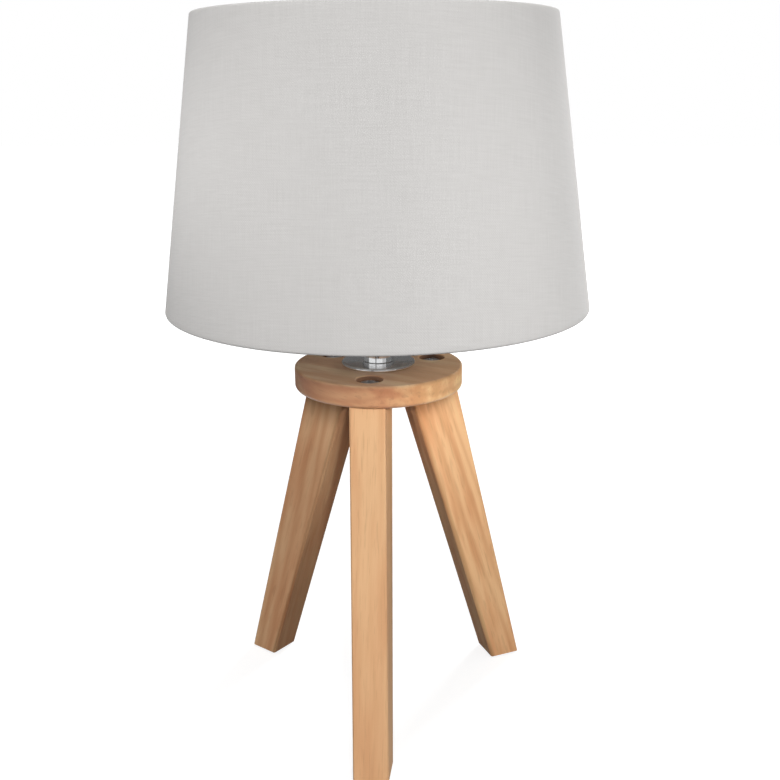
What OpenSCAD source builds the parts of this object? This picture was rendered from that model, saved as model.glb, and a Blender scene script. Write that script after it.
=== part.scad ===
// Tripod table lamp: three splayed wooden legs under a wooden disc, a short bright stem,
// a screw lampholder with its bulb, and a tapered fabric shade on a three-armed fitter.
// The frame stands on the floor at z = 0, the stem's axis is Z, and the front leg points to -Y.

/* [Legs] */
// Height of a leg, from its foot to the underside of the disc
leg_h = 200.5; // [150:0.5:300]
// Width of a leg across its front face
leg_w = 20; // [18:0.5:24]
// Depth of a leg at its top, measured level and outwards
leg_top_depth = 31; // [30:0.5:34]
// Depth of a leg at its foot
leg_foot_depth = 20; // [14:0.5:24]
// Distance of a leg's centre from the axis at its top
leg_top_r = 30; // [29:0.5:31]
// Distance of a leg's centre from the axis at its foot
leg_foot_r = 89; // [70:1:110]
// Sideways shift of a foot, because every leg leans a little the same way round
leg_side = 7.6; // [0:0.1:10]
// Bevel that eases the long edges of a leg
leg_ease = 0.8; // [0.4:0.1:1.5]
// Diameter of the pad under a foot
pad_d = 12; // [8:0.5:13]
// Thickness of the pad under a foot
pad_t = 1; // [0.5:0.1:3]

/* [Top disc] */
// Diameter of the wooden disc
disc_d = 98; // [96:1:130]
// Thickness of the wooden disc
disc_t = 13; // [11:0.5:22]
// Radius of the rounding on the disc's upper edge
disc_round = 1.2; // [0.5:0.1:3]
// Radius of the rounding on the disc's lower edge
disc_under_round = 2.4; // [0.5:0.1:3]

/* [Leg fixings] */
// Distance of a leg screw from the axis
screw_r = 34.4; // [33.5:0.1:35]
// Thread diameter of a leg screw
screw_d = 6; // [5:0.5:6.5]
// Diameter of a leg screw's head
screw_head_d = 12; // [10.5:0.5:12.5]
// Height of a leg screw's head
screw_head_h = 3.6; // [3:0.1:4]
// Width of the cross slot in a screw head
cross_w = 1.5; // [1:0.1:2]
// Length of the cross slot in a screw head
cross_len = 6.4; // [5:0.1:7]
// Depth of the cross slot in a screw head
cross_depth = 1.9; // [1:0.1:2.2]
// Length of screw that goes into a leg
screw_grip = 16; // [12:0.5:17]
// Diameter of the recess over a leg screw
recess_d = 15; // [14.5:0.5:17]
// Depth of the recess over a leg screw
recess_depth = 5.5; // [5:0.1:7]
// Bevel round the mouth of the recess
recess_bevel = 0.6; // [0.3:0.1:1]
// Outer diameter of the washer under a screw head
washer_d = 13.6; // [12.8:0.2:14.2]
// Thickness of the washer under a screw head
washer_t = 1; // [0.6:0.1:1.4]
// Outer diameter of the threaded insert in a leg
insert_d = 10; // [9:0.5:11]
// Length of the threaded insert in a leg
insert_len = 18; // [17.5:0.5:20]
// Distance of a locating dowel from the axis
dowel_r = 23.5; // [23.5:0.1:24.2]
// Diameter of a locating dowel
dowel_d = 5; // [4:0.5:5.5]
// Length of a dowel inside the disc
dowel_in_disc = 7; // [5:0.5:8]
// Length of a dowel inside a leg
dowel_in_leg = 12; // [9:0.5:13]
// Bevel at a dowel's ends
dowel_bevel = 0.6; // [0.3:0.1:1]

/* [Stem] */
// Diameter of the bright cover plate on the disc
plate_d = 43; // [38:0.5:52]
// Thickness of the cover plate
plate_t = 2; // [1.5:0.1:4]
// Bevel round the rim of the cover plate
plate_bevel = 1; // [0.5:0.1:1.4]
// Outer diameter of the bright stem
stem_d = 18.5; // [15:0.5:20]
// Height of the stem between the cover plate and the lampholder
stem_h = 22; // [14:0.5:80]
// Outer diameter of the threaded tube inside the stem
tube_d = 10; // [9.5:0.1:10.5]
// Bore of the threaded tube, where the cord runs
tube_bore = 7.8; // [7:0.1:8]
// Length of the threaded tube below its nut
tube_tail = 2.3; // [1:0.1:6]
// Diameter of the washer under the disc
tube_washer_d = 20; // [18:0.5:24]
// Thickness of the washer under the disc
tube_washer_t = 1.2; // [0.8:0.1:2]
// Width across the flats of the nut under the disc
nut_flats = 14; // [13:0.5:17]
// Height of the nut under the disc
nut_h = 5; // [4:0.5:7]
// Bore of the bush that the cord leaves through
bush_bore = 6; // [5:0.1:6.2]
// Diameter of the bush's flange
bush_flange_d = 13; // [11.5:0.5:15]
// Thickness of the bush's flange
bush_flange_t = 3; // [2:0.5:5]
// Length of the bush inside the threaded tube
bush_spigot = 5; // [3:0.5:8]

/* [Lampholder] */
// Outer diameter of the lampholder's cap
cap_d = 38; // [37.5:0.1:39]
// Height of the lampholder's cap
cap_h = 20; // [19:0.5:24]
// Radius of the cap's round lower edge
cap_round = 8; // [7:0.5:8.5]
// Diameter of the cap's neck
neck_d = 16; // [15:0.5:20]
// Height of the cap's neck
neck_h = 4; // [3.5:0.5:4]
// Thickness of the cap's floor, neck included
cap_floor = 6; // [5.5:0.5:7]
// Diameter of the wiring space in the cap
wiring_d = 26; // [24:0.5:28]
// Height of the wiring space in the cap
wiring_h = 5; // [4.5:0.5:6]
// Inner diameter of the cap where the skirt screws in
cap_bore = 34.2; // [34:0.1:34.8]
// Outer diameter of the skirt's thread
skirt_d = 39; // [38.5:0.1:40]
// Height of the skirt above its shoulder
skirt_h = 30; // [24:0.5:34]
// Inner diameter of the skirt
skirt_bore = 33; // [32:0.5:34]
// Diameter of the shoulder that carries the shade
shoulder_d = 47; // [45:0.5:47.4]
// Thickness of that shoulder
shoulder_t = 3; // [2:0.5:5]
// Bore of the skirt's spigot inside the cap
spigot_bore = 30; // [29:0.5:31]
// Thickness of the insulating core's flange
core_t = 3; // [2:0.5:4]
// Diameter of the boss on the core
boss_d = 13; // [12:0.5:14]
// Height of the boss on the core
boss_h = 1.5; // [1:0.1:2]
// Wall of the screw shell
shell_t = 0.5; // [0.3:0.1:0.6]
// Height of the screw shell
shell_h = 30; // [24:0.5:30]
// Thickness of the spring contact's strip
contact_t = 0.4; // [0.3:0.1:0.6]
// Width of the spring contact's strip
contact_w = 5; // [3:0.5:6]
// Rise of the spring contact above the boss
contact_rise = 2.2; // [1.6:0.1:3]
// Thread diameter of a terminal screw
terminal_d = 3; // [2.5:0.1:3.2]
// Length of a terminal screw inside the core
terminal_len = 2; // [1.5:0.1:2]
// Distance of a terminal screw from the axis
terminal_r = 9; // [8.5:0.1:9.2]
// Diameter of a terminal screw's head
terminal_head_d = 5.1; // [4.5:0.1:5.4]
// Height of a terminal screw's head
terminal_head_h = 1.8; // [1.2:0.1:2.4]

/* [Shade ring] */
// Outer diameter of the ring's flange
ring_flange_d = 56; // [52:0.5:58]
// Thickness of the ring's flange
ring_flange_t = 2.5; // [1.5:0.5:4]
// Outer diameter of the ring's collar
ring_collar_d = 46; // [44.5:0.5:48]
// Height of the whole ring
ring_h = 10; // [8:0.5:14]
// Number of finger grooves round the collar
ring_grooves = 18; // [12:1:24]
// Diameter of a finger groove
groove_d = 4; // [3:0.5:5]
// Depth of a finger groove
groove_depth = 1.2; // [0.6:0.1:1.5]

/* [Shade] */
// Outer diameter of the shade at its bottom edge
shade_bottom_d = 240; // [220:1:300]
// Outer diameter of the shade at its top edge
shade_top_d = 194; // [160:1:218]
// Height of the shade
shade_h = 157; // [140:1:220]
// Height of the fitter ring above the shade's bottom edge
fitter_drop = 11.5; // [8:0.5:30]
// Thickness of the fabric cover
cover_t = 0.6; // [0.4:0.1:1]
// Thickness of the stiff liner
liner_t = 0.5; // [0.3:0.1:1]
// Diameter of the wires in the top and bottom edges
edge_wire_d = 3; // [2:0.1:4]
// Height of the fabric turned in over a wire
hem_h = 6; // [5:0.5:12]
// Outer diameter of the flat fitter ring
fitter_d = 54; // [52:0.5:60]
// Bore of the fitter ring
fitter_bore = 41; // [40.6:0.1:43]
// Thickness of the fitter ring
fitter_t = 1.6; // [1:0.1:2.5]
// Number of arms that carry the bottom wire
arm_count = 3; // [3:1:4]
// Diameter of an arm
arm_d = 2.6; // [2:0.1:3.4]

/* [Bulb] */
// Diameter of the bulb
bulb_d = 60; // [50:1:66]
// Length of the bulb, from its contact to its top
bulb_len = 107; // [100:1:116]
// Diameter of the bulb's screw cap
bulb_cap_d = 26; // [25.6:0.1:26.4]
// Height of the bulb's screw cap
bulb_cap_h = 22; // [22:0.5:25]
// Height of the slanted shoulder at the foot of that cap
bulb_shoulder_h = 3.5; // [2.5:0.5:5]
// Height of the bulb's housing
housing_h = 30; // [26:0.5:34]
// How long the housing stays narrow before it flares, as a power of its height
housing_flare = 1.3; // [1.2:0.05:1.6]
// Wall of the bulb's globe
globe_t = 1.2; // [0.8:0.1:2]
// Diameter of the bulb's contact
tip_d = 9; // [7:0.5:10]
// Thickness of the bulb's contact
tip_t = 1.5; // [1:0.1:2]
// Height of the bulb's black insulator
insulator_h = 3; // [2:0.5:4]
// Diameter of the board that carries the light chips
board_d = 46; // [36:1:46]
// Thickness of that board
board_t = 1.5; // [1:0.1:2]

/* [Clearances] */
// Gap round a piece that is glued, pressed or screwed in
fixed_gap = 0.05; // [0.02:0.01:0.1]
// Gap round a piece that slips through a hole
slip_gap = 0.2; // [0.15:0.05:0.4]
// Gap beside a piece that turns or lifts
moving_gap = 0.3; // [0.25:0.05:0.4]

/* [Hidden] */
$fn = 96;
leg_count = 3;
front_azimuth = -90;  // the front leg points to -Y
arm_azimuth = 90;  // the first arm points to the back
cut = 1;  // how far a cutting shape runs past a face
tube_into_holder = 2;  // how far the threaded tube stands into the wiring space
screw_run_out = 2;  // depth of the screw's hole below the insert
leg_spare = 0.02;  // share of a leg's length that is cut off level at either end
crown_share = 0.8;  // radius of a pan head's crown for its diameter
bulb_cap_foot_d = bulb_cap_d - 8;  // the screw cap where it meets the insulator
housing_foot_r = bulb_cap_d / 2 + 0.4;  // the housing's rim over the screw cap
globe_rim = 1;  // how far the globe bulges past the housing

// Levels, from the floor up
foot_z = pad_t;
disc_z = foot_z + leg_h;
disc_top_z = disc_z + disc_t;
recess_z = disc_top_z - recess_depth;
screw_seat_z = recess_z + washer_t;
screw_hole_d = screw_d + 3 * slip_gap;
plate_top_z = disc_top_z + plate_t;
stem_top_z = plate_top_z + stem_h;
cap_floor_z = stem_top_z + cap_floor;
core_z = cap_floor_z + wiring_h;
core_top_z = core_z + core_t;
cap_top_z = stem_top_z + cap_h;
shoulder_z = cap_top_z + shoulder_t;
skirt_top_z = shoulder_z + skirt_h;
fitter_z = shoulder_z + moving_gap;
fitter_top_z = fitter_z + fitter_t;
ring_z = fitter_top_z + moving_gap;
boss_top_z = core_top_z + boss_h;
bulb_z = boss_top_z + contact_rise + moving_gap;
shade_z = shoulder_z - fitter_drop;
shade_top_z = shade_z + shade_h;
tube_washer_z = disc_z - tube_washer_t;
nut_z = tube_washer_z - nut_h;
tube_z = nut_z - tube_tail;
tube_top_z = cap_floor_z + tube_into_holder;
bush_z = tube_z - bush_flange_t;

// A leg's sideways lean, and its length along that lean
leg_lean = atan(leg_side / leg_h);
leg_len = leg_h / cos(leg_lean);

// The shade's slanted wall
shade_slope = (shade_bottom_d - shade_top_d) / 2 / shade_h;
shade_tilt = atan(shade_slope);
liner_depth = cover_t + fixed_gap;
wire_r = edge_wire_d / 2;
wire_depth = liner_depth + liner_t + fixed_gap + wire_r;
hem_depth = wire_depth + wire_r + fixed_gap + cover_t;
bottom_wire_z = shade_z + cover_t + fixed_gap + wire_r;
top_wire_z = shade_top_z - cover_t - fixed_gap - wire_r;

// The bulb, from its contact up
tip_top_z = bulb_z + tip_t;
bulb_cap_z = tip_top_z + insulator_h;
housing_z = bulb_cap_z + bulb_cap_h;
housing_top_z = housing_z + housing_h;
bulb_top_z = bulb_z + bulb_len;
globe_centre_z = bulb_top_z - bulb_d / 2;
housing_top_r = bulb_d / 2 - globe_rim;

wood = "#d9ad7c";
wood_end = "#b98a5e";
bright = "#d8dadd";
zinc = "#b9bcc0";
brass = "#c9a85a";
white_plastic = "#eeece7";
black_plastic = "#26262a";
grey_fabric = "#d1cfcd";
liner_white = "#f4f2ee";
white_paint = "#e9e7e2";
felt = "#5b4a3c";

// Outer radius of the shade at a height, and the level distance that a depth into its wall takes
function shade_r(z) = shade_bottom_d / 2 - (z - shade_z) * shade_slope;
function level(depth) = depth / cos(shade_tilt);
function wire_path_r(z) = shade_r(z) - level(wire_depth);
// The value at a share of the way from one value to another
function between(from, to, share) = from + (to - from) * share;
// Radius of the bulb's housing at a share of its height, in an S-curve
function housing_r(share) =
    between(housing_foot_r, housing_top_r, (1 - cos(180 * pow(share, housing_flare))) / 2);

// A ring, standing on z
module ring(outer_d, inner_d, height, z) {
    translate([0, 0, z])
        difference() {
            cylinder(d = outer_d, h = height);
            translate([0, 0, -cut])
                cylinder(d = inner_d, h = height + 2 * cut);
        }
}

// A straight round rod in the X-Z plane, between two points given as [x, z]
module rod(from, to, d) {
    run = to[0] - from[0];
    rise = to[1] - from[1];
    translate([from[0], 0, from[1]])
        rotate([0, atan2(run, rise), 0])
            cylinder(d = d, h = norm([run, rise]));
}

// Its child once at each leg, where +X is outwards
module at_legs() {
    for (i = [0 : leg_count - 1])
        rotate(front_azimuth + i * 360 / leg_count)
            children();
}

// Its child once at each arm, where +X is outwards
module at_arms() {
    for (i = [0 : arm_count - 1])
        rotate(arm_azimuth + i * 360 / arm_count)
            children();
}

// Half of the disc's section, with both outer corners rounded
module disc_section() {
    disc_r = disc_d / 2;
    square([disc_r - max(disc_round, disc_under_round), disc_t]);
    translate([0, disc_under_round])
        square([disc_r, disc_t - disc_round - disc_under_round]);
    translate([0, disc_t / 2])
        square([disc_r - disc_round, disc_t / 2]);
    translate([disc_r - disc_under_round, disc_under_round])
        circle(disc_under_round);
    translate([disc_r - disc_round, disc_t - disc_round])
        circle(disc_round);
}

module top_disc() {
    color(wood)
        difference() {
            translate([0, 0, disc_z])
                rotate_extrude()
                    intersection() {
                        disc_section();
                        square([disc_d, disc_t]);
                    }
            translate([0, 0, disc_z - cut])
                cylinder(d = tube_d + 2 * slip_gap, h = disc_t + 2 * cut);
            at_legs() {
                translate([screw_r, 0, disc_z - cut])
                    cylinder(d = screw_hole_d, h = disc_t);
                translate([screw_r, 0, recess_z])
                    cylinder(d = recess_d, h = recess_depth + cut);
                translate([screw_r, 0, disc_top_z - recess_bevel])
                    cylinder(d1 = recess_d, d2 = recess_d + 4 * recess_bevel, h = 2 * recess_bevel);
                translate([dowel_r, 0, disc_z - cut])
                    cylinder(d = dowel_d + 2 * fixed_gap, h = dowel_in_disc + cut + fixed_gap);
            }
        }
}

// A square bar along one long edge of a leg, turned to cut a bevel on it
module leg_edge_cut(top_x, foot_x, side) {
    run = top_x - foot_x;
    bar = leg_ease * sqrt(2);
    bar_len = norm([run, leg_len]) * (1 + 4 * leg_spare);
    translate([(top_x + foot_x) / 2, side * leg_w / 2, -leg_len / 2])
        rotate([0, atan2(run, leg_len), 0])
            rotate(45)
                cube([bar, bar, bar_len], center = true);
}

// A leg before its ends are cut level: a tapering stick with eased edges, down from z = 0
module leg_stick() {
    top_in = leg_top_r - leg_top_depth / 2;
    top_out = leg_top_r + leg_top_depth / 2;
    foot_in = leg_foot_r - leg_foot_depth / 2;
    foot_out = leg_foot_r + leg_foot_depth / 2;
    low = 1 + leg_spare;
    high = -leg_spare;
    difference() {
        rotate([90, 0, 0])
            linear_extrude(height = leg_w, center = true)
                polygon([
                    [between(top_in, foot_in, low), -low * leg_len],
                    [between(top_out, foot_out, low), -low * leg_len],
                    [between(top_out, foot_out, high), -high * leg_len],
                    [between(top_in, foot_in, high), -high * leg_len]
                ]);
        for (side = [-1, 1]) {
            leg_edge_cut(top_out, foot_out, side);
            leg_edge_cut(top_in, foot_in, side);
        }
    }
}

// One leg, splayed outwards along +X, leaning to +Y and cut level at both ends
module leg() {
    reach = leg_foot_r + leg_foot_depth;
    color(wood)
        difference() {
            intersection() {
                translate([0, 0, disc_z])
                    rotate([leg_lean, 0, 0])
                        leg_stick();
                translate([0, -reach / 2, foot_z])
                    cube([reach, reach, leg_h]);
            }
            translate([screw_r, 0, disc_z - insert_len - screw_run_out])
                cylinder(d = screw_hole_d, h = insert_len + screw_run_out + cut);
            translate([screw_r, 0, disc_z - insert_len])
                cylinder(d = insert_d + 2 * fixed_gap, h = insert_len + cut);
            translate([dowel_r, 0, disc_z - dowel_in_leg - fixed_gap])
                cylinder(d = dowel_d + 2 * fixed_gap, h = dowel_in_leg + cut + fixed_gap);
        }
}

module leg_front() {
    rotate(front_azimuth)
        leg();
}

module leg_right() {
    rotate(front_azimuth + 360 / leg_count)
        leg();
}

module leg_left() {
    rotate(front_azimuth + 2 * 360 / leg_count)
        leg();
}

// A pan head: a cylinder under a shallow crown, with a cross slot
module screw_head() {
    crown_r = screw_head_d * crown_share;
    difference() {
        intersection() {
            cylinder(d = screw_head_d, h = screw_head_h);
            translate([0, 0, screw_head_h - crown_r])
                sphere(crown_r);
        }
        for (turn = [45, 135])
            rotate(turn)
                translate([-cross_len / 2, -cross_w / 2, screw_head_h - cross_depth])
                    cube([cross_len, cross_w, cross_depth + cut]);
    }
}

module leg_screws() {
    tip_z = disc_z - screw_grip;
    color(zinc)
        at_legs()
            translate([screw_r, 0, 0]) {
                translate([0, 0, screw_seat_z])
                    screw_head();
                translate([0, 0, tip_z])
                    cylinder(d = screw_d, h = screw_seat_z - tip_z);
            }
}

module leg_washers() {
    color(zinc)
        at_legs()
            translate([screw_r, 0, 0])
                ring(washer_d, screw_d + 2 * slip_gap, washer_t, recess_z);
}

module leg_inserts() {
    color(brass)
        at_legs()
            translate([screw_r, 0, 0])
                ring(insert_d, screw_d + 2 * fixed_gap, insert_len, disc_z - insert_len);
}

module leg_dowels() {
    dowel_len = dowel_in_leg + dowel_in_disc;
    tip_d = dowel_d - 2 * dowel_bevel;
    color(wood_end)
        at_legs()
            translate([dowel_r, 0, disc_z - dowel_in_leg]) {
                translate([0, 0, dowel_bevel])
                    cylinder(d = dowel_d, h = dowel_len - 2 * dowel_bevel);
                cylinder(d1 = tip_d, d2 = dowel_d, h = dowel_bevel);
                translate([0, 0, dowel_len - dowel_bevel])
                    cylinder(d1 = dowel_d, d2 = tip_d, h = dowel_bevel);
            }
}

module foot_pads() {
    color(felt)
        at_legs()
            translate([leg_foot_r, leg_side, 0])
                cylinder(d = pad_d, h = pad_t);
}

module cover_plate() {
    color(bright)
        translate([0, 0, disc_top_z])
            difference() {
                union() {
                    cylinder(d = plate_d, h = plate_t - plate_bevel);
                    translate([0, 0, plate_t - plate_bevel])
                        cylinder(d1 = plate_d, d2 = plate_d - 2 * plate_bevel, h = plate_bevel);
                }
                translate([0, 0, -cut])
                    cylinder(d = tube_d + 2 * slip_gap, h = plate_t + 2 * cut);
            }
}

module stem_tube() {
    color(bright)
        ring(stem_d, tube_d + 2 * slip_gap, stem_h, plate_top_z);
}

module threaded_tube() {
    color(zinc)
        ring(tube_d, tube_bore, tube_top_z - tube_z, tube_z);
}

module tube_washer() {
    color(zinc)
        ring(tube_washer_d, tube_d + 2 * slip_gap, tube_washer_t, tube_washer_z);
}

module tube_nut() {
    color(zinc)
        translate([0, 0, nut_z])
            difference() {
                cylinder(d = nut_flats / cos(30), h = nut_h, $fn = 6);
                translate([0, 0, -cut])
                    cylinder(d = tube_d + 2 * fixed_gap, h = nut_h + 2 * cut);
            }
}

module cord_bush() {
    color(black_plastic) {
        difference() {
            union() {
                translate([0, 0, bush_z])
                    cylinder(d1 = bush_flange_d - 2, d2 = bush_flange_d, h = bush_flange_t);
                translate([0, 0, tube_z])
                    cylinder(d = tube_bore - 2 * fixed_gap, h = bush_spigot);
            }
            translate([0, 0, bush_z - cut])
                cylinder(d = bush_bore, h = bush_flange_t + bush_spigot + 2 * cut);
        }
    }
}

// The lampholder's lower half: a neck on the tube, and a round-bottomed cup for the core
module holder_cap() {
    color(white_plastic)
        translate([0, 0, stem_top_z])
            difference() {
                union() {
                    cylinder(d = neck_d, h = neck_h + cut);
                    rotate_extrude() {
                        translate([0, neck_h])
                            square([cap_d / 2 - cap_round, cap_h - neck_h]);
                        translate([0, neck_h + cap_round])
                            square([cap_d / 2, cap_h - neck_h - cap_round]);
                        translate([cap_d / 2 - cap_round, neck_h + cap_round])
                            circle(cap_round);
                    }
                }
                translate([0, 0, -cut])
                    cylinder(d = tube_d + 2 * fixed_gap, h = cap_floor + 2 * cut);
                translate([0, 0, cap_floor])
                    cylinder(d = wiring_d, h = cap_h);
                translate([0, 0, cap_floor + wiring_h])
                    cylinder(d = cap_bore, h = cap_h);
            }
}

// The upper half: a spigot that clamps the core, a shoulder for the shade, and a threaded skirt
module holder_skirt() {
    color(white_plastic)
        difference() {
            union() {
                translate([0, 0, core_top_z])
                    cylinder(d = cap_bore - 2 * fixed_gap, h = cap_top_z - core_top_z + cut);
                translate([0, 0, cap_top_z])
                    cylinder(d = shoulder_d, h = shoulder_t);
                translate([0, 0, cap_top_z])
                    cylinder(d = skirt_d, h = shoulder_t + skirt_h);
            }
            translate([0, 0, core_top_z - cut])
                cylinder(d = spigot_bore, h = cap_top_z - core_top_z + 2 * cut);
            translate([0, 0, cap_top_z])
                cylinder(d = skirt_bore, h = shoulder_t + skirt_h + cut);
        }
}

module holder_core() {
    color(white_paint)
        difference() {
            union() {
                translate([0, 0, core_z])
                    cylinder(d = cap_bore - 2 * slip_gap, h = core_t);
                translate([0, 0, core_top_z])
                    cylinder(d = boss_d, h = boss_h);
            }
            for (side = [-1, 1]) {
                translate([side * terminal_r, 0, core_z - cut])
                    cylinder(d = terminal_d + 2 * fixed_gap, h = terminal_len + fixed_gap + cut);
                translate([0, side * terminal_r, core_z - cut])
                    cylinder(d = terminal_d, h = core_t + 2 * cut);
            }
        }
}

// A cup with a hole in its floor, round the core's boss
module screw_shell() {
    shell_bore = bulb_cap_d + 2 * moving_gap;
    color(brass) {
        ring(shell_bore + 2 * shell_t, shell_bore, shell_h, core_top_z);
        ring(shell_bore + shell_t, boss_d + 2 * slip_gap, shell_t, core_top_z);
    }
}

// A bent strip: a foot on the boss, a slanted rise, and a pad under the bulb's contact
module centre_contact() {
    foot_x = -boss_d / 2 + 1;
    bend_x = -boss_d / 4;
    pad_x = -1;
    pad_end_x = 3;
    color(brass)
        translate([0, 0, boss_top_z])
            rotate([90, 0, 0])
                linear_extrude(height = contact_w, center = true)
                    polygon([
                        [foot_x, 0], [bend_x, 0], [pad_x, contact_rise - contact_t],
                        [pad_end_x, contact_rise - contact_t], [pad_end_x, contact_rise],
                        [pad_x, contact_rise], [bend_x, contact_t], [foot_x, contact_t]
                    ]);
}

module terminal_screws() {
    color(brass)
        for (side = [-1, 1])
            translate([side * terminal_r, 0, 0]) {
                translate([0, 0, core_z - terminal_head_h])
                    cylinder(d = terminal_head_d, h = terminal_head_h);
                translate([0, 0, core_z - cut])
                    cylinder(d = terminal_d, h = terminal_len + cut);
            }
}

// A threaded ring with a flange over the fitter and finger grooves round its collar
module shade_ring() {
    groove_path_r = ring_collar_d / 2 + groove_d / 2 - groove_depth;
    color(white_plastic)
        translate([0, 0, ring_z])
            difference() {
                union() {
                    cylinder(d = ring_flange_d, h = ring_flange_t);
                    cylinder(d = ring_collar_d, h = ring_h);
                }
                translate([0, 0, -cut])
                    cylinder(d = skirt_d + 2 * moving_gap, h = ring_h + 2 * cut);
                for (i = [0 : ring_grooves - 1])
                    rotate(i * 360 / ring_grooves)
                        translate([groove_path_r, 0, ring_flange_t])
                            cylinder(d = groove_d, h = ring_h, $fn = 24);
            }
}

module fitter_ring() {
    color(white_paint)
        ring(fitter_d, fitter_bore, fitter_t, fitter_z);
}

// One arm: a straight rod from the underside of the fitter ring to the inside of the bottom wire
module arm(d) {
    inner_end = [shoulder_d / 2 + 2 * moving_gap, fitter_z - arm_d / 2];
    outer_end = [wire_path_r(bottom_wire_z) - wire_r - fixed_gap, bottom_wire_z];
    rod(inner_end, outer_end, d);
}

module spider_arms() {
    color(white_paint)
        at_arms()
            arm(arm_d);
}

// A wire hoop inside the shade's edge at a height
module edge_wire(z) {
    translate([0, 0, z])
        rotate_extrude()
            translate([wire_path_r(z), 0])
                circle(wire_r);
}

module shade_bottom_wire() {
    color(white_paint)
        edge_wire(bottom_wire_z);
}

module shade_top_wire() {
    color(white_paint)
        edge_wire(top_wire_z);
}

// The section of a slanted wall between two depths and two heights
module wall_section(depth, thickness, z_low, z_high) {
    polygon([
        [shade_r(z_low) - level(depth + thickness), z_low],
        [shade_r(z_low) - level(depth), z_low],
        [shade_r(z_high) - level(depth), z_high],
        [shade_r(z_high) - level(depth + thickness), z_high]
    ]);
}

module shade_liner() {
    color(liner_white)
        rotate_extrude()
            wall_section(liner_depth, liner_t, shade_z + liner_depth, shade_top_z - liner_depth);
}

// The fabric: the slanted wall, and at both edges a fold over the wire with a hem turned in
module cover_section() {
    z_low = shade_z;
    z_high = shade_top_z;
    skin = level(cover_t);
    fold = level(hem_depth);
    polygon([
        [shade_r(z_low), z_low],
        [shade_r(z_high), z_high],
        [shade_r(z_high) - fold, z_high],
        [shade_r(z_high - hem_h) - fold, z_high - hem_h],
        [shade_r(z_high - hem_h) - fold + skin, z_high - hem_h],
        [shade_r(z_high - cover_t) - fold + skin, z_high - cover_t],
        [shade_r(z_high - cover_t) - skin, z_high - cover_t],
        [shade_r(z_low + cover_t) - skin, z_low + cover_t],
        [shade_r(z_low + cover_t) - fold + skin, z_low + cover_t],
        [shade_r(z_low + hem_h) - fold + skin, z_low + hem_h],
        [shade_r(z_low + hem_h) - fold, z_low + hem_h],
        [shade_r(z_low) - fold, z_low]
    ]);
}

module shade_cover() {
    color(grey_fabric)
        difference() {
            rotate_extrude()
                cover_section();
            at_arms()
                arm(arm_d + 2 * slip_gap);
        }
}

module bulb_tip() {
    color(brass)
        translate([0, 0, bulb_z])
            cylinder(d1 = tip_d - 2, d2 = tip_d, h = tip_t);
}

module bulb_insulator() {
    color(black_plastic)
        translate([0, 0, tip_top_z])
            cylinder(d1 = tip_d + 2, d2 = bulb_cap_foot_d, h = insulator_h);
}

module bulb_screw_cap() {
    color(zinc)
        translate([0, 0, bulb_cap_z]) {
            cylinder(d1 = bulb_cap_foot_d, d2 = bulb_cap_d, h = bulb_shoulder_h);
            translate([0, 0, bulb_shoulder_h])
                cylinder(d = bulb_cap_d, h = bulb_cap_h - bulb_shoulder_h);
        }
}

// A funnel from the screw cap out to the globe
module bulb_housing() {
    steps = 12;
    color(white_plastic)
        translate([0, 0, housing_z])
            rotate_extrude()
                polygon([
                    [0, 0],
                    for (i = [0 : steps]) [housing_r(i / steps), housing_h * i / steps],
                    [0, housing_h]
                ]);
}

module bulb_board() {
    color(white_paint)
        translate([0, 0, housing_top_z])
            cylinder(d = board_d, h = board_t);
}

// Half of the globe's section, made smaller by a wall: a dome over a nearly straight band
module globe_section(wall) {
    r = bulb_d / 2 - wall;
    intersection() {
        translate([0, globe_centre_z])
            circle(r);
        translate([0, globe_centre_z])
            square([bulb_d, bulb_d]);
    }
    polygon([
        [0, housing_top_z], [housing_top_r - wall, housing_top_z],
        [r, globe_centre_z], [0, globe_centre_z]
    ]);
}

module bulb_globe() {
    color("white")
        difference() {
            rotate_extrude()
                globe_section(0);
            rotate_extrude()
                globe_section(globe_t);
        }
}

top_disc();
leg_front();
leg_right();
leg_left();
leg_screws();
leg_washers();
leg_inserts();
leg_dowels();
foot_pads();
cover_plate();
stem_tube();
threaded_tube();
tube_washer();
tube_nut();
cord_bush();
holder_cap();
holder_skirt();
holder_core();
screw_shell();
centre_contact();
terminal_screws();
shade_ring();
fitter_ring();
spider_arms();
shade_bottom_wire();
shade_top_wire();
shade_liner();
shade_cover();
bulb_tip();
bulb_insulator();
bulb_screw_cap();
bulb_housing();
bulb_board();
bulb_globe();
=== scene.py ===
import math

import bmesh
import bpy
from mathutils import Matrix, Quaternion, Vector


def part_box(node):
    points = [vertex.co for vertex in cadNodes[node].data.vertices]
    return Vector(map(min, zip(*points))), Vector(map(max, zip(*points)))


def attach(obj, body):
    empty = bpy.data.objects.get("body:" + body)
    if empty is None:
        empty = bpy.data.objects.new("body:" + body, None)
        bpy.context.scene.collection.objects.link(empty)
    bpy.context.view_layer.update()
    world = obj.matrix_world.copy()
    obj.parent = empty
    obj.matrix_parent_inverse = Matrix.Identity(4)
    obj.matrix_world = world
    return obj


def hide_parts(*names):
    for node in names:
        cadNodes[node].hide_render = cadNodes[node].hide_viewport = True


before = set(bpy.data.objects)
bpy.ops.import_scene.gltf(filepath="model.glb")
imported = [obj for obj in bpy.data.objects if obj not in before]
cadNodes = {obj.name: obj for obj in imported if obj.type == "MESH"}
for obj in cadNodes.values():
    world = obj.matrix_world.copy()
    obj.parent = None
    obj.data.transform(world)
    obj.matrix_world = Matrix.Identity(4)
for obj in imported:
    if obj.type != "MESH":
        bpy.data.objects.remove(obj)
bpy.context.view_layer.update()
print("frame loaded:", len(cadNodes), "nodes")


# mesh tools

mergeDistance = 0.000002  # points closer than this are one point


def clearSelection():
    bpy.ops.object.select_all(action="DESELECT")


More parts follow.
